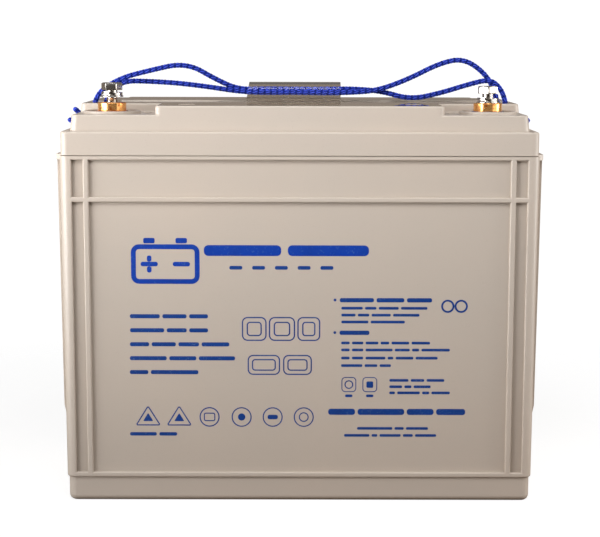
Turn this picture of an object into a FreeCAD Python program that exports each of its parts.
# A sealed 12 V deep cycle battery: six absorbent-mat cells in one case, a lid with two front
# corner terminals, and a rope handle with a clear sleeve.  Millimetres, +Z up.
# Origin: middle of the base.  +X runs along the length, the front face looks towards -Y.
import FreeCAD, Part
import math
import os

os.makedirs("parts", exist_ok=True)
V = FreeCAD.Vector
UP = V(0, 0, 1)

# ---------------------------------------------------------------- driving dimensions
LENGTH = 339.4            # over the side flanges
LID_LENGTH = 331.2        # over the lid's skirt
WIDTH = 172.0             # front face to back face
TERMINAL_TOP = 281.7      # base to the top of a terminal insert
SIDES = (-1, 1)

# case, outside
CASE_CORNER = 6.0
CASE_HALF = (165.2, 166.4)         # half length of the walls at their foot and at the shoulder
PLINTH_TOP = 17.5
PLINTH_HALF = (164.1, 84.5)        # half length and half width
PLINTH_ROUND = 4.0
SHOULDER = 245.7          # where the lid's skirt meets the case
FLANGE_BOTTOM = 242.7
FLANGE_TOP = 246.6
FLANGE_END = 80.0         # |y| where the flange starts to stand out
RELIEF = 2.5              # depth of the sunk panels in the front and back faces
RELIEF_ROUND = 0.9
NARROW_PANEL = (150.0, 158.0)      # |x| of the narrow sunk panels
MAIN_PANEL = 146.2                 # half length of the main sunk panels
LOWER_PANEL = (21.2, 213.8)        # z of the lower row of panels
UPPER_PANEL = (217.3, 243.0)       # z of the upper row of panels
SIDE_PAD_OUT = (168.0, 169.6)       # |x| of its face, at its foot and at the flange
SIDE_PAD_TOE = 54.0
SIDE_PAD_FULL = 67.0
SIDE_PAD_HALF = 71.0
SIDE_PANELS = ((-64.0, -26.0), (-19.0, 19.0), (26.0, 64.0))     # their y limits
SIDE_PANEL_Z = (74.0, 234.0)
SIDE_PANEL_DEPTH = 1.3
FLANGE_RUN_OUT = 5.0      # how far back its ends reach full width
PLINTH_LIP = 1.2          # round under the wall, above the plinth

# case, inside
CAVITY_LENGTH = 317.0
CAVITY_WIDTH = 160.0
FLOOR = 4.5
CELLS = 6
PARTITION = 2.5
RIM_TOP = 257.7
RIM_GAP = 0.3
SEAL_TOP = 258.7

# lid
SKIRT_BOTTOM = 246.05
SKIRT_TOP = 262.6
SKIRT_CORNER = 5.0
LID_WALL = 3.0
HOLLOW_GAP = 0.2          # extra wall where the hollow meets the deck's sides
SKIRT_FOOT_ROUND = 0.5
SOFT_ROUND = 1.0          # rims of the bosses and of the notch floors
DECK_HALF = (159.4, 157.1)         # half length of the raised deck, at its foot and at its top
DECK_FOOT = 260.6
DECK_WIDTH = 166.0
DECK_TOP = 280.3
DECK_CORNER = 5.0
EDGE_ROUND = 1.3
NOTCH_FLOOR = 274.0       # the two open front corners that hold the terminals
NOTCH_INNER = 100.0
NOTCH_BACK = -37.0
NOTCH_CORNER = 4.0
MARK = (80.0, -56.0)      # |x| and y of the two round marks sunk into the deck
MARK_RADIUS = 6.0
MARK_DEPTH = 0.25

# handle pockets, one in each end of the lid
POCKET_X = (139.5, 155.0)
POCKET_HALF = 14.0
POCKET_FLOOR = 263.0
POCKET_CORNER = 2.5
WINDOW_Y = (4.0, 12.0)
WINDOW_TOP = 271.7

# vent gallery, valves and cover
GALLERY_HALF = 128.0
GALLERY_Y = (12.0, 67.0)
GALLERY_FLOOR = 269.7
COVER_HALF = 134.0
COVER_Y = (5.0, 74.0)
COVER_SEAT = 278.1
COVER_TOP = 281.1
COVER_CORNER = 4.0
COVER_GAP = 0.3
COVER_NOTCH = (10.5, 3.0)
VALVE_PITCH = 47.2
NECK_RADIUS = 6.0
NECK_BORE = 3.0
NECK_TOP = 276.7
VALVE_RADIUS = 7.5
VALVE_BOTTOM = 271.2
VALVE_TOP = 277.9
VALVE_CAP_ROUND = 0.8
ARRESTOR_RADIUS = 7.0
ARRESTOR_Y = 23.0
ARRESTOR = (274.1, 277.3)
ARRESTOR_COLLAR_TOP = 277.7
ARRESTOR_COLLAR_WALL = 1.6
ARRESTOR_SEAT = 1.5       # how far the seat reaches under the disc

# terminals
TERMINAL_X = 132.3
TERMINAL_Y = -57.5
BOSS_RADIUS = 20.0
DISH_RADIUS = 17.0
BOSS_TOP = 276.0
DISH_FLOOR = 274.6
POLARITY_OFFSET = (25.0, 5.0)      # from the terminal, towards the middle and the back
POLARITY_HALF = 2.6       # half the length of a bar, and half its width
POLARITY_STROKE = 0.6
POLARITY_RAISE = 0.6
SEAL_RADIUS = 11.4
SEAL_RING_TOP = 275.9
SEAL_RING_BOTTOM = 271.3
INSERT_RADIUS = 10.0
INSERT_BOTTOM = 264.7
GROOVE_RADIUS = 9.0
GROOVE = (266.1, 268.7)
O_RING_SECTION = 1.15
TUBE_RADIUS = 15.0
TUBE_BOTTOM = 264.7
THREAD_RADIUS = 4.0       # M8
THREAD_CLEARANCE = 0.08
THREAD_DEPTH = 15.0
BOLT_SHANK = 16.0
HEAD_FLATS = 13.0
HEAD_HEIGHT = 5.3
FLAT_WASHER = (8.0, 4.2, 1.0)      # outer radius, bore radius, thickness
SPRING_WASHER = (7.4, 4.1, 2.0)
SPRING_RISE = 0.9                  # how far the cut ends stand apart
SPRING_TURN = 350.0                # degrees of the ring that are there
SPLITS = {"positive": -80.0, "negative": -95.0}      # direction of each split, degrees
HEAD_TURNS = {"positive": 0.0, "negative": 30.0}     # direction of a head's corner, degrees
HEAD_CROWN_INSET = 0.3
TIP_CHAMFER = 0.8
INSERT_ROUND = 0.5
COUNTERSINK = 1.0
POSITIVE_HEAD = 290.25             # underside of each bolt's head
NEGATIVE_HEAD = 288.2
POSITIVE_WASHERS = 285.45          # underside of each flat washer
NEGATIVE_WASHERS = TERMINAL_TOP

# cells
PLATE_WIDTH = 152.0
PLATE_BOTTOM = 6.0
PLATE_TOP = 214.0
POSITIVE_PLATES = 7
POSITIVE_THICK = 2.9
NEGATIVE_THICK = 1.9
MAT_THICK = 1.0
MAT_OVERLAP = 2.0
LUG_WIDTH = 14.0
STRAP_Y = 57.5
STRAP_WIDTH = 22.0
STRAP = (224.0, 232.0)
RISER_TOP = 250.0
RISER_THICK = 6.0
WELD_Z = 241.0
WELD_RADIUS = 6.0
POST_RADIUS = 8.0

# rope and sleeve
ROPE = 4.0                # diameter
SLEEVE_OUTER = 7.15
SLEEVE_BORE = 5.75
SLEEVE_X = (-39.6, 30.0)
SLEEVE_AXIS = DECK_TOP + SLEEVE_OUTER + 0.2
SLEEVE_SLANT = 9.0        # degrees, the left end's cut
KNOT_CENTRE = (-165.4, 0.0, 267.0)
KNOT_RADIUS = 4.4
KNOT_STRETCH = 1.85       # its length across the end wall, over its thickness
UPPER_END = ((-163.6, -3.5, 269.1), (-4.2, -2.0, 6.4), 7.0)       # start, direction, length
OUTER_END = ((-167.0, 2.5, 266.6), (-1.0, 0.25, -0.05), 5.8)

CELL_LENGTH = (CAVITY_LENGTH - (CELLS - 1) * PARTITION) / CELLS
CELL_PITCH = CELL_LENGTH + PARTITION


# ---------------------------------------------------------------- shape helpers
def box(x, y, z):
    """A block between two x, two y and two z values, in any order."""
    low = V(min(x), min(y), min(z))
    return Part.makeBox(max(x) - low.x, max(y) - low.y, max(z) - low.z, low)


def rounded_block(half_x, half_y, z, radius, centre=(0.0, 0.0)):
    """An upright block with rounded vertical corners."""
    block = box((centre[0] - half_x, centre[0] + half_x),
                (centre[1] - half_y, centre[1] + half_y), z)
    upright = [e for e in block.Edges if abs(e.tangentAt(e.FirstParameter).z) > 0.9]
    return block.makeFillet(radius, upright)


def prism(points, y):
    """A solid between two y values, from its outline of (x, z) points."""
    outline = [V(x, y[0], z) for x, z in points]
    return Part.Face(Part.makePolygon(outline + outline[:1])).extrude(V(0, y[1] - y[0], 0))


def drafted_block(half_x, half_y, z, radius):
    """A block whose ends lean: two half lengths, at the bottom and at the top; rounded corners."""
    block = prism([(-half_x[0], z[0]), (half_x[0], z[0]), (half_x[1], z[1]), (-half_x[1], z[1])],
                  (-half_y, half_y))
    upright = [e for e in block.Edges if abs(e.tangentAt(e.FirstParameter).z) > 0.9]
    return block.makeFillet(radius, upright)


def lean(values, z, limits):
    """The value at the height z of a face that leans between two heights."""
    return values[0] + (values[1] - values[0]) * (z - limits[0]) / (limits[1] - limits[0])


def rod(x, y, z, radius):
    """An upright cylinder."""
    return Part.makeCylinder(radius, z[1] - z[0], V(x, y, z[0]), UP)


def ring(x, y, z, outer, inner):
    return rod(x, y, z, outer).cut(rod(x, y, (z[0] - 1, z[1] + 1), inner))


def joined(shapes):
    return shapes[0].multiFuse(list(shapes[1:])).removeSplitter()


def round_edges(shape, radius, wanted):
    """Round the edges whose middle point satisfies wanted(point)."""
    edges = [e for e in shape.Edges if wanted(middle(e))]
    return shape.makeFillet(radius, edges)


def middle(edge):
    return edge.valueAt((edge.FirstParameter + edge.LastParameter) / 2)


def save(name, shape):
    """Write one sub-part; a group of separate pieces is one compound."""
    solids = shape.Solids
    result = solids[0] if len(solids) == 1 else Part.makeCompound(solids)
    result.exportStep("parts/" + name + ".step")
    print(f"{name:28s} solids {len(solids):3d}  volume {result.Volume:12.1f}  valid {result.isValid()}")


# ---------------------------------------------------------------- case
def panel_cutters():
    """The sunk panels of the front and back faces, with soft edges."""
    cutters = []
    columns = [(-MAIN_PANEL, MAIN_PANEL)]
    columns += [(side * NARROW_PANEL[0], side * NARROW_PANEL[1]) for side in SIDES]
    for face in SIDES:
        for x in columns:
            for z in (LOWER_PANEL, UPPER_PANEL):
                y = (face * (WIDTH / 2 - RELIEF), face * (WIDTH / 2 + 1))
                cutters.append(box(x, y, z))
    return cutters


def panel_edge(point):
    """True on the rims of the sunk panels, at the face and in the corners of the frame."""
    inside_x = abs(point.x) < NARROW_PANEL[1] + 0.1
    inside_z = LOWER_PANEL[0] - 0.1 < point.z < UPPER_PANEL[1] + 0.1
    on_face = abs(abs(point.y) - WIDTH / 2) < 0.01
    return inside_x and inside_z and on_face


def pad_face(z):
    """|x| of a side pad's face at the height z."""
    return lean(SIDE_PAD_OUT, z, (SIDE_PAD_FULL, FLANGE_BOTTOM))


def side_pad(side):
    """The raised pad on a short side: it slopes back into the wall at its toe."""
    inside = CASE_HALF[0] - 1
    toe = lean(CASE_HALF, SIDE_PAD_TOE, (PLINTH_TOP, SHOULDER))
    outline = [(inside, SIDE_PAD_TOE - 4), (toe, SIDE_PAD_TOE), (SIDE_PAD_OUT[0], SIDE_PAD_FULL),
               (SIDE_PAD_OUT[1], FLANGE_BOTTOM), (inside, FLANGE_BOTTOM)]
    pad = prism([(side * x, z) for x, z in outline], (-SIDE_PAD_HALF, SIDE_PAD_HALF))
    low, high = SIDE_PANEL_Z
    field = [(pad_face(low) - SIDE_PANEL_DEPTH, low), (pad_face(high) - SIDE_PANEL_DEPTH, high),
             (LENGTH / 2 + 1, high), (LENGTH / 2 + 1, low)]
    return pad.cut(Part.makeCompound([prism([(side * x, z) for x, z in field], y) for y in SIDE_PANELS]))


def flange(side):
    """The lip below the lid on a short side; its ends run out into the corners."""
    wall = side * (CASE_HALF[0] - 1)
    out = side * LENGTH / 2
    plan = [V(wall, -FLANGE_END, 0), V(out, -FLANGE_END + FLANGE_RUN_OUT, 0),
            V(out, FLANGE_END - FLANGE_RUN_OUT, 0), V(wall, FLANGE_END, 0)]
    lip = Part.Face(Part.makePolygon(plan + plan[:1])).extrude(V(0, 0, FLANGE_TOP - FLANGE_BOTTOM))
    lip.translate(V(0, 0, FLANGE_BOTTOM))
    lid_half = LID_LENGTH / 2 + RIM_GAP
    return lip.cut(box((-lid_half, lid_half), (-WIDTH, WIDTH), (SHOULDER, FLANGE_TOP + 1)))


def make_case():
    half_x, half_y = LID_LENGTH / 2, WIDTH / 2
    plinth = rounded_block(*PLINTH_HALF, (0, PLINTH_TOP + 1), CASE_CORNER)
    plinth = round_edges(plinth, PLINTH_ROUND, lambda p: p.z < 0.01)
    body = drafted_block(CASE_HALF, half_y, (PLINTH_TOP, SHOULDER), CASE_CORNER)
    body = round_edges(body, PLINTH_LIP, lambda p: p.z < PLINTH_TOP + 0.01)
    body = body.cut(Part.makeCompound(panel_cutters()))
    body = round_edges(body, RELIEF_ROUND, panel_edge)
    rim = rounded_block(half_x - LID_WALL - RIM_GAP, half_y - LID_WALL - RIM_GAP,
                        (SHOULDER - 1, RIM_TOP), CASE_CORNER - 3)
    shell = joined([plinth, body, rim] + [side_pad(s) for s in SIDES] + [flange(s) for s in SIDES])
    cells = [box(cell_span(i), (-CAVITY_WIDTH / 2, CAVITY_WIDTH / 2), (FLOOR, RIM_TOP + 1))
             for i in range(CELLS)]
    holes = [Part.makeCylinder(WELD_RADIUS, PARTITION + 2, V(x - PARTITION / 2 - 1, y, WELD_Z), V(1, 0, 0))
             for x, y in weld_places()]
    return shell.cut(Part.makeCompound(cells)).cut(Part.makeCompound(holes))


# ---------------------------------------------------------------- cells
def cell_span(i):
    """The x limits of cell i, counted from the positive end."""
    low = -CAVITY_LENGTH / 2 + i * CELL_PITCH
    return low, low + CELL_LENGTH


def partition_x(i):
    return cell_span(i)[1] + PARTITION / 2


def positive_strap_y(i):
    """Straps change sides from cell to cell, so that neighbours face each other."""
    return -STRAP_Y if i % 2 == 0 else STRAP_Y


def weld_places():
    """One through-the-wall weld per partition, between a negative and the next positive."""
    return [(partition_x(i), -positive_strap_y(i)) for i in range(CELLS - 1)]


def stack(i):
    """The cell's stack as (kind, x limits), from one outer negative plate to the other."""
    kinds = ["negative"]
    for _ in range(POSITIVE_PLATES):
        kinds += ["mat", "positive", "mat", "negative"]
    thick = {"negative": NEGATIVE_THICK, "positive": POSITIVE_THICK, "mat": MAT_THICK}
    total = sum(thick[k] for k in kinds)
    x = sum(cell_span(i)) / 2 - total / 2
    layers = []
    for kind in kinds:
        layers.append((kind, (x, x + thick[kind])))
        x += thick[kind]
    return layers


def plate_group(i, kind):
    """Plates of one sign, with their lugs, the cast strap and the riser for the next joint."""
    y = positive_strap_y(i) if kind == "positive" else -positive_strap_y(i)
    plates = [x for k, x in stack(i) if k == kind]
    pieces = []
    for x in plates:
        pieces.append(box(x, (-PLATE_WIDTH / 2, PLATE_WIDTH / 2), (PLATE_BOTTOM, PLATE_TOP)))
        pieces.append(box(x, (y - LUG_WIDTH / 2, y + LUG_WIDTH / 2), (PLATE_TOP - 1, STRAP[0] + 1)))
    low, high = cell_span(i)
    strap = box((low + 2, high - 2), (y - STRAP_WIDTH / 2, y + STRAP_WIDTH / 2), STRAP)
    pieces.append(strap)
    end = riser_side(i, kind)
    if end:
        wall = high if end > 0 else low
        pieces.append(box((wall, wall - end * RISER_THICK),
                          (y - STRAP_WIDTH / 2, y + STRAP_WIDTH / 2), (STRAP[0], RISER_TOP)))
    return joined(pieces)


def riser_side(i, kind):
    """Which partition the riser stands against: 0 where a terminal post stands instead."""
    if kind == "negative":
        return 0 if i == CELLS - 1 else 1
    return 0 if i == 0 else -1


def mats(i):
    """The absorbent glass mats between the plates of one cell."""
    low, high = -PLATE_WIDTH / 2 - MAT_OVERLAP, PLATE_WIDTH / 2 + MAT_OVERLAP
    return Part.makeCompound([box(x, (low, high), (PLATE_BOTTOM - 1, PLATE_TOP + 4))
                              for kind, x in stack(i) if kind == "mat"])


def weld(x, y):
    """The lead bridge that fills the hole in a partition."""
    return Part.makeCylinder(WELD_RADIUS, PARTITION, V(x - PARTITION / 2, y, WELD_Z), V(1, 0, 0))


# ---------------------------------------------------------------- lid
def seal_bead():
    """Epoxy between the case's rim and partitions and the lid."""
    half_x, half_y = LID_LENGTH / 2 - LID_WALL, WIDTH / 2 - LID_WALL
    outer = rounded_block(half_x, half_y, (RIM_TOP, SEAL_TOP), CASE_CORNER - 3)
    inner = [box(cell_span(i), (-CAVITY_WIDTH / 2, CAVITY_WIDTH / 2), (RIM_TOP - 1, SEAL_TOP + 1))
             for i in range(CELLS)]
    return outer.cut(Part.makeCompound(inner))


def lid_outer():
    half_y = DECK_WIDTH / 2
    skirt = rounded_block(LID_LENGTH / 2, WIDTH / 2, (SKIRT_BOTTOM, SKIRT_TOP), SKIRT_CORNER)
    skirt = round_edges(skirt, EDGE_ROUND, lambda p: p.z > SKIRT_TOP - 0.01)
    skirt = round_edges(skirt, SKIRT_FOOT_ROUND, lambda p: p.z < SKIRT_BOTTOM + 0.01)
    deck = drafted_block(DECK_HALF, half_y, (DECK_FOOT, DECK_TOP), DECK_CORNER)
    for side in SIDES:
        cut_half = (DECK_HALF[0] + 20 - NOTCH_INNER) / 2
        cut_deep = (half_y + 20 + NOTCH_BACK) / 2
        centre = (side * (NOTCH_INNER + cut_half), NOTCH_BACK - cut_deep)
        deck = deck.cut(rounded_block(cut_half, cut_deep, (NOTCH_FLOOR, DECK_TOP + 1), NOTCH_CORNER, centre))
    notch_ends = [e for e in deck.Edges if is_notch_corner(e)]
    deck = deck.makeFillet(NOTCH_CORNER, notch_ends)
    deck = round_edges(deck, EDGE_ROUND, is_top_rim)
    deck = round_edges(deck, SOFT_ROUND, is_notch_rim)
    return skirt.fuse(deck)


def deck_end(z):
    """|x| of the deck's end faces at the height z."""
    return lean(DECK_HALF, z, (DECK_FOOT, DECK_TOP))


def is_notch_corner(edge):
    """The upright edges where a notch breaks out of the deck's front and ends."""
    upright = abs(edge.tangentAt(edge.FirstParameter).z) > 0.9
    point = middle(edge)
    high = point.z > NOTCH_FLOOR
    at_front = abs(abs(point.x) - NOTCH_INNER) < 0.01 and abs(point.y + DECK_WIDTH / 2) < 0.01
    at_end = abs(abs(point.x) - deck_end(point.z)) < 0.01 and abs(point.y - NOTCH_BACK) < 0.01
    return upright and high and (at_front or at_end)


def is_top_rim(point):
    return point.z > DECK_TOP - 0.01


def is_notch_rim(point):
    """The outer rim of the notch floors."""
    level = abs(point.z - NOTCH_FLOOR) < 0.01
    at_front = point.y < -DECK_WIDTH / 2 + 2
    at_end = abs(point.x) > deck_end(NOTCH_FLOOR) - 2
    return level and (at_front or at_end)


def valve_places():
    return [((i - (CELLS - 1) / 2) * VALVE_PITCH, (GALLERY_Y[0] + GALLERY_Y[1]) / 2) for i in range(CELLS)]


def lid_hollow():
    """The space over the cells, less every wall that hangs into it."""
    half_y = CAVITY_WIDTH / 2 - HOLLOW_GAP
    half_x = DECK_HALF[1] - LID_WALL - HOLLOW_GAP
    hollow = box((-half_x, half_x), (-half_y, half_y), (SEAL_TOP - 0.01, DECK_TOP - LID_WALL))
    keep = [box((partition_x(i) - PARTITION / 2, partition_x(i) + PARTITION / 2),
                (-WIDTH, WIDTH), (SEAL_TOP - 1, DECK_TOP)) for i in range(CELLS - 1)]
    keep.append(box((-GALLERY_HALF - LID_WALL, GALLERY_HALF + LID_WALL),
                    (GALLERY_Y[0] - LID_WALL, GALLERY_Y[1] + LID_WALL), (GALLERY_FLOOR - LID_WALL, DECK_TOP)))
    for side in SIDES:
        keep.append(box((side * (NOTCH_INNER - LID_WALL), side * LENGTH / 2),
                        (-WIDTH, NOTCH_BACK + LID_WALL), (NOTCH_FLOOR - LID_WALL, DECK_TOP)))
        keep.append(box((side * (POCKET_X[0] - LID_WALL), side * LENGTH / 2),
                        (-POCKET_HALF - LID_WALL, POCKET_HALF + LID_WALL), (POCKET_FLOOR - LID_WALL, DECK_TOP)))
        keep.append(rod(side * TERMINAL_X, TERMINAL_Y, (TUBE_BOTTOM, NOTCH_FLOOR), TUBE_RADIUS))
    return cut_all(hollow, keep)


def cut_all(shape, tools):
    for tool in tools:
        shape = shape.cut(tool)
    return shape


def polarity_mark(side):
    """A moulded plus beside the positive terminal, a minus beside the negative one."""
    x, y = side * (TERMINAL_X - POLARITY_OFFSET[0]), TERMINAL_Y + POLARITY_OFFSET[1]
    z = (NOTCH_FLOOR - 0.5, NOTCH_FLOOR + POLARITY_RAISE)
    long, short = POLARITY_HALF, POLARITY_STROKE
    bar = box((x - long, x + long), (y - short, y + short), z)
    if side > 0:
        return bar
    return bar.fuse(box((x - short, x + short), (y - long, y + long), z))


def make_lid():
    lid = lid_outer()
    bosses = []
    for side in SIDES:
        boss = rod(side * TERMINAL_X, TERMINAL_Y, (NOTCH_FLOOR - 1, BOSS_TOP), BOSS_RADIUS)
        boss = round_edges(boss, SOFT_ROUND, lambda p: p.z > BOSS_TOP - 0.01)
        bosses += [boss, polarity_mark(side)]
    lid = lid.multiFuse(bosses)
    skirt_room = rounded_block(LID_LENGTH / 2 - LID_WALL, WIDTH / 2 - LID_WALL,
                               (SKIRT_BOTTOM - 1, SEAL_TOP), CASE_CORNER - 3)
    lid = lid.cut(skirt_room).cut(lid_hollow())
    lid = cut_all(lid, lid_openings())
    necks = [ring(x, y, (GALLERY_FLOOR - 0.5, NECK_TOP), NECK_RADIUS, NECK_BORE) for x, y in valve_places()]
    collar_radius = ARRESTOR_RADIUS + ARRESTOR_COLLAR_WALL
    seat = ring(0, ARRESTOR_Y, (GALLERY_FLOOR - 0.5, ARRESTOR[0]), collar_radius,
                ARRESTOR_RADIUS - ARRESTOR_SEAT)
    collar = ring(0, ARRESTOR_Y, (ARRESTOR[0] - 0.4, ARRESTOR_COLLAR_TOP), collar_radius, ARRESTOR_RADIUS + 0.05)
    return joined([lid] + necks + [seat, collar])


def lid_openings():
    """Everything that is cut through or sunk into the lid from outside."""
    tools = []
    middle_y = sum(COVER_Y) / 2
    half_y = (COVER_Y[1] - COVER_Y[0]) / 2 + COVER_GAP
    tools.append(rounded_block(COVER_HALF + COVER_GAP, half_y, (COVER_SEAT, DECK_TOP + 1), COVER_CORNER,
                               (0, middle_y)))
    tools.append(rounded_block(GALLERY_HALF, (GALLERY_Y[1] - GALLERY_Y[0]) / 2, (GALLERY_FLOOR, DECK_TOP + 1),
                               COVER_CORNER, (0, sum(GALLERY_Y) / 2)))
    tools += [rod(x, y, (GALLERY_FLOOR - 10, NECK_TOP), NECK_BORE) for x, y in valve_places()]
    for side in SIDES:
        tools.append(rod(side * TERMINAL_X, TERMINAL_Y, (DISH_FLOOR, BOSS_TOP + 1), DISH_RADIUS))
        tools.append(rod(side * TERMINAL_X, TERMINAL_Y, (TUBE_BOTTOM - 1, BOSS_TOP + 1), SEAL_RADIUS))
        pocket_x = (side * POCKET_X[0], side * POCKET_X[1])
        pocket_mid = sum(pocket_x) / 2
        tools.append(rounded_block((POCKET_X[1] - POCKET_X[0]) / 2, POCKET_HALF, (POCKET_FLOOR, DECK_TOP + 1),
                                   POCKET_CORNER, (pocket_mid, 0)))
        for end in SIDES:
            tools.append(box((side * (POCKET_X[1] - 1), side * (DECK_HALF[0] + 1)),
                             (end * WINDOW_Y[0], end * WINDOW_Y[1]), (POCKET_FLOOR, WINDOW_TOP)))
        tools.append(rod(side * MARK[0], MARK[1], (DECK_TOP - MARK_DEPTH, DECK_TOP + 1), MARK_RADIUS))
    return tools


def vent_cover():
    middle_y = sum(COVER_Y) / 2
    plate = rounded_block(COVER_HALF, (COVER_Y[1] - COVER_Y[0]) / 2, (COVER_SEAT, COVER_TOP), COVER_CORNER,
                          (0, middle_y))
    notch = rounded_block(COVER_NOTCH[0], COVER_NOTCH[1], (COVER_SEAT - 1, COVER_TOP + 1), 1.5, (0, COVER_Y[0]))
    plate = plate.cut(notch)
    return round_edges(plate, 0.6, lambda p: p.z > COVER_TOP - 0.01)


def valve_cap(x, y):
    """A rubber cap stretched over a neck; gas lifts its skirt."""
    cap = rod(x, y, (VALVE_BOTTOM, VALVE_TOP), VALVE_RADIUS)
    cap = round_edges(cap, VALVE_CAP_ROUND, lambda p: p.z > VALVE_TOP - 0.01)
    return cap.cut(rod(x, y, (VALVE_BOTTOM - 1, NECK_TOP), NECK_RADIUS))


# ---------------------------------------------------------------- terminals
def insert(x, y):
    """The brass terminal: a plain bush with a blind M8 hole and an O-ring groove."""
    bush = rod(x, y, (INSERT_BOTTOM, TERMINAL_TOP), INSERT_RADIUS)
    bush = round_edges(bush, INSERT_ROUND, lambda p: p.z > TERMINAL_TOP - 0.01)
    hole = rod(x, y, (TERMINAL_TOP - THREAD_DEPTH, TERMINAL_TOP + 1), THREAD_RADIUS + THREAD_CLEARANCE)
    countersink = Part.makeCone(THREAD_RADIUS, THREAD_RADIUS + COUNTERSINK, COUNTERSINK,
                                V(x, y, TERMINAL_TOP - COUNTERSINK + 0.01), UP)
    return bush.cut(hole).cut(countersink).cut(ring(x, y, GROOVE, INSERT_RADIUS + 1, GROOVE_RADIUS))


def o_ring(x, y):
    middle_radius = (GROOVE_RADIUS + SEAL_RADIUS) / 2
    return Part.makeTorus(middle_radius, O_RING_SECTION, V(x, y, sum(GROOVE) / 2), UP)


def seal_ring(x, y):
    """The coloured epoxy round an insert."""
    washer = ring(x, y, (SEAL_RING_BOTTOM, SEAL_RING_TOP), SEAL_RADIUS, INSERT_RADIUS)
    return round_edges(washer, INSERT_ROUND, lambda p: p.z > SEAL_RING_TOP - 0.01 and
                       math.hypot(p.x - x, p.y - y) > INSERT_RADIUS + 0.5)


def terminal_post(x, y):
    """The lead post from an end cell's strap to the insert, on its foot."""
    return rod(x, y, (STRAP[1], INSERT_BOTTOM), POST_RADIUS)


def bolt(x, y, head_bottom, turn):
    """A hexagon bolt; turn is the direction of one corner of its head, in degrees."""
    corner = HEAD_FLATS / math.sqrt(3)
    points = [V(corner * math.cos(math.radians(turn + 60 * k)),
                corner * math.sin(math.radians(turn + 60 * k)), 0) for k in range(7)]
    head = Part.Face(Part.makePolygon(points)).extrude(V(0, 0, HEAD_HEIGHT))
    crown = HEAD_FLATS / 2 - HEAD_CROWN_INSET
    head = head.common(Part.makeCone(crown + HEAD_HEIGHT * math.sqrt(3), crown, HEAD_HEIGHT))
    shank = Part.makeCylinder(THREAD_RADIUS, BOLT_SHANK + 0.5, V(0, 0, -BOLT_SHANK), UP)
    shank = shank.makeChamfer(TIP_CHAMFER, [e for e in shank.Edges if middle(e).z < -BOLT_SHANK + 0.1])
    whole = head.fuse(shank).removeSplitter()
    whole.translate(V(x, y, head_bottom))
    return whole


def flat_washer(x, y, bottom):
    outer, bore, thick = FLAT_WASHER
    return round_edges(ring(x, y, (bottom, bottom + thick), outer, bore), 0.25,
                       lambda p: math.hypot(p.x - x, p.y - y) > outer - 0.1)


def spring_washer(x, y, bottom, start):
    """A split washer: a square section swept up one open turn from the angle start."""
    outer, bore, thick = SPRING_WASHER
    middle_radius = (outer + bore) / 2
    helix = Part.makeHelix(SPRING_RISE * 360 / SPRING_TURN, SPRING_RISE, middle_radius)
    half = (outer - bore) / 2
    section = Part.makePolygon([V(middle_radius - half, 0, 0), V(middle_radius + half, 0, 0),
                                V(middle_radius + half, 0, thick), V(middle_radius - half, 0, thick),
                                V(middle_radius - half, 0, 0)])
    sweep = Part.BRepOffsetAPI.MakePipeShell(Part.Wire(helix.Edges))
    sweep.setBiNormalMode(UP)
    sweep.add(section)
    sweep.build()
    sweep.makeSolid()
    washer = sweep.shape()
    washer.rotate(V(0, 0, 0), UP, start)
    washer.translate(V(x, y, bottom))
    return washer


# ---------------------------------------------------------------- rope and sleeve
def on_deck(points):
    """Route points whose height is counted from the deck's top."""
    return [V(x, y, DECK_TOP + height) for x, y, height in points]


LEFT_ARCH = on_deck([          # from inside the sleeve, over the arch, into the left pocket
    (-5.0, 1.8, 9.1), (-24.0, 1.9, 9.4), (-45.0, 2.2, 8.7), (-61.0, 1.6, 15.5), (-84.0, -1.4, 28.7),
    (-113.0, -4.6, 22.2), (-131.0, -6.0, 17.4), (-146.2, -6.8, 8.7), (-151.8, -7.3, -1.5),
    (-152.0, -7.7, -12.2), (-161.0, -7.4, -14.3)])
LEFT_LOW = on_deck([           # the lower strand, into the left pocket behind the other
    (-5.0, -1.8, 6.9), (-24.0, -1.9, 6.6), (-45.0, -2.0, 7.4), (-66.0, -1.0, 10.6), (-90.0, 2.0, 13.4),
    (-112.0, 4.6, 14.6), (-131.0, 6.2, 14.9), (-141.5, 6.8, 7.0), (-145.5, 7.2, -3.5),
    (-149.0, 7.6, -12.3), (-161.0, 7.4, -14.3)])
RIGHT_LOOP = on_deck([         # out along the low strand's side, round the web, back along the other
    (-5.0, -1.8, 6.9), (15.0, -1.9, 6.5), (36.0, -2.2, 6.7), (57.0, -2.6, 8.2), (80.0, -1.0, 16.6),
    (103.0, 1.8, 28.2), (121.0, 3.8, 32.0), (137.2, 5.4, 21.4), (145.3, 6.6, 7.8), (147.8, 7.2, -4.5),
    (151.0, 7.7, -12.6), (160.0, 7.6, -14.3), (166.4, 7.4, -13.9), (169.8, 0.0, -13.5),
    (166.4, -7.4, -13.9), (160.8, -7.6, -14.3), (152.0, -7.7, -12.2), (152.0, -7.2, -1.5),
    (148.3, -6.6, 9.7), (140.0, -6.0, 17.0), (124.0, -4.8, 13.0), (104.0, -2.6, 6.6), (82.0, 0.2, 1.7),
    (60.0, 1.9, 7.9), (38.0, 2.2, 9.5), (15.0, 1.9, 9.0), (-5.0, 1.8, 9.1)])


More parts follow.
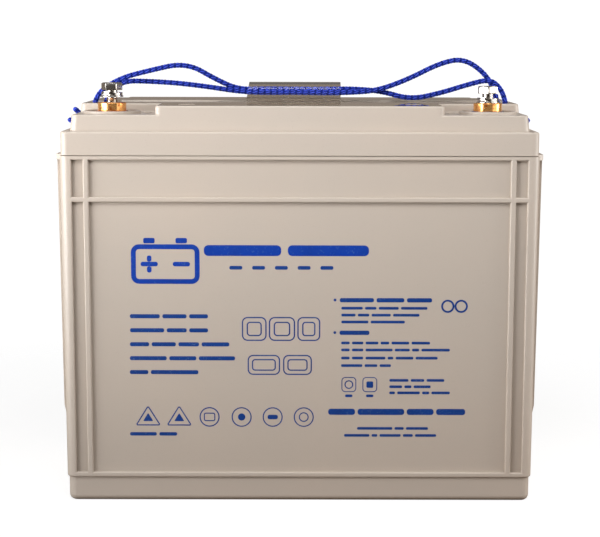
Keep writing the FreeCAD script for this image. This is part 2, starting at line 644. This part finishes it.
def rope_path(points, name):
    """Straight runs joined by tangent arcs, each as large as its two runs allow."""
    edges = []
    start = points[0]
    radii = []
    for before, corner, after in zip(points, points[1:], points[2:]):
        back, ahead = before - corner, after - corner
        turn = math.pi - back.getAngle(ahead)
        reach = 0.45 * min(back.Length, ahead.Length)
        radii.append(reach / math.tan(turn / 2))
        back.normalize()
        ahead.normalize()
        first, last = corner + back * reach, corner + ahead * reach
        bisector = back + ahead
        bisector.normalize()
        top = corner + bisector * (radii[-1] * (1 / math.cos(turn / 2) - 1))
        edges.append(Part.LineSegment(start, first).toShape())
        edges.append(Part.Arc(first, top, last).toShape())
        start = last
    edges.append(Part.LineSegment(start, points[-1]).toShape())
    wire = Part.Wire(edges)
    print(f"{name}: length {wire.Length:.1f}, radii", " ".join(f"{r:.1f}" for r in radii))
    return wire


def rope(points, name):
    wire = rope_path(points, name)
    direction = points[1] - points[0]
    section = Part.Wire([Part.makeCircle(ROPE / 2, points[0], direction)])
    tube = wire.makePipeShell([section], True, True)
    print(f"{name}: volume / (section x length) = {tube.Volume / (math.pi * ROPE ** 2 / 4 * wire.Length):.4f}")
    return tube


def knot():
    """The outer shape of the knot outside the left windows, with its two cut ends."""
    ball = Part.makeSphere(KNOT_RADIUS)
    stretch = FreeCAD.Matrix()
    stretch.scale(V(1.0, KNOT_STRETCH, 1.0))
    ball = ball.transformGeometry(stretch)
    ball.translate(V(*KNOT_CENTRE))
    ends = [Part.makeCylinder(ROPE / 2, length, V(*start), V(*direction))
            for start, direction, length in (UPPER_END, OUTER_END)]
    return joined([ball] + ends)


def sleeve():
    """The clear grip round both strands, its left end cut a little out of square."""
    low, high = SLEEVE_X
    tube = Part.makeCylinder(SLEEVE_OUTER, high - low, V(low, 0, SLEEVE_AXIS), V(1, 0, 0))
    tube = tube.cut(Part.makeCylinder(SLEEVE_BORE, high - low + 2, V(low - 1, 0, SLEEVE_AXIS), V(1, 0, 0)))
    wedge = Part.makeBox(20, 40, 60, V(-20, -20, -30))
    wedge.rotate(V(0, 0, 0), V(0, 1, 0), SLEEVE_SLANT)
    wedge.translate(V(low, 0, SLEEVE_AXIS - SLEEVE_OUTER))
    return tube.cut(wedge)


# ---------------------------------------------------------------- the sub-parts
save("case", make_case())
save("lid", make_lid())
save("lid_seal", seal_bead())
save("vent_cover", vent_cover())
save("flame_arrestor", rod(0, ARRESTOR_Y, ARRESTOR, ARRESTOR_RADIUS))
for number, (valve_x, valve_y) in enumerate(valve_places(), 1):
    save(f"valve_cap_{number}", valve_cap(valve_x, valve_y))

for cell in range(CELLS):
    save(f"positive_plates_{cell + 1}", plate_group(cell, "positive"))
    save(f"negative_plates_{cell + 1}", plate_group(cell, "negative"))
    save(f"separator_mats_{cell + 1}", mats(cell))
for number, (weld_x, weld_y) in enumerate(weld_places(), 1):
    save(f"cell_link_{number}", weld(weld_x, weld_y))

for sign, pole_x, head_bottom, washer_bottom in (
        ("positive", -TERMINAL_X, POSITIVE_HEAD, POSITIVE_WASHERS),
        ("negative", TERMINAL_X, NEGATIVE_HEAD, NEGATIVE_WASHERS)):
    save(f"terminal_insert_{sign}", insert(pole_x, TERMINAL_Y))
    save(f"terminal_o_ring_{sign}", o_ring(pole_x, TERMINAL_Y))
    save(f"terminal_seal_{sign}", seal_ring(pole_x, TERMINAL_Y))
    save(f"terminal_post_{sign}", terminal_post(pole_x, TERMINAL_Y))
    save(f"terminal_bolt_{sign}", bolt(pole_x, TERMINAL_Y, head_bottom, HEAD_TURNS[sign]))
    save(f"flat_washer_{sign}", flat_washer(pole_x, TERMINAL_Y, washer_bottom))
    spring_bottom = washer_bottom + FLAT_WASHER[2]
    save(f"spring_washer_{sign}", spring_washer(pole_x, TERMINAL_Y, spring_bottom, SPLITS[sign]))

save("rope_left_front", rope(LEFT_ARCH, "rope_left_front"))
save("rope_left_rear", rope(LEFT_LOW, "rope_left_rear"))
save("rope_right_loop", rope(RIGHT_LOOP, "rope_right_loop"))
save("rope_knot", knot())
save("handle_sleeve", sleeve())
